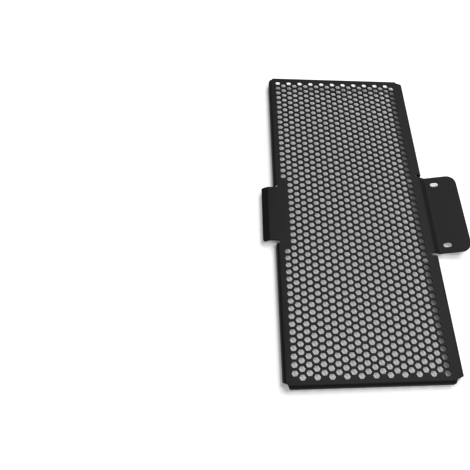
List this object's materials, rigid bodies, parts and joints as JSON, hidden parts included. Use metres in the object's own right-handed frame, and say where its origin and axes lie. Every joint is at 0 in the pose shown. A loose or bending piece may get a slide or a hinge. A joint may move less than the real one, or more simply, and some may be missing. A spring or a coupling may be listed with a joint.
{
  "type": "motorcycle radiator guard",
  "caption": "Folded sheet metal guard for a motorcycle radiator: a perforated honeycomb face, shallow edge flanges, a hooked side tab and a slotted mounting tab.",
  "frame": {"origin": "centre of the whole outline, at the level of the side flanges' lower edges, on which the guard lies", "axes": "+X across the guard from the hooked tab to the slotted tab, +Y along its length, +Z out of its perforated face"},
  "size_m": [0.185, 0.3228, 0.0121],
  "materials": {
    "powder_coat": "satin black powder coat"
  },
  "bodies": {
    "root": {"guard": "powder_coat"}
  },
  "joints": []
}
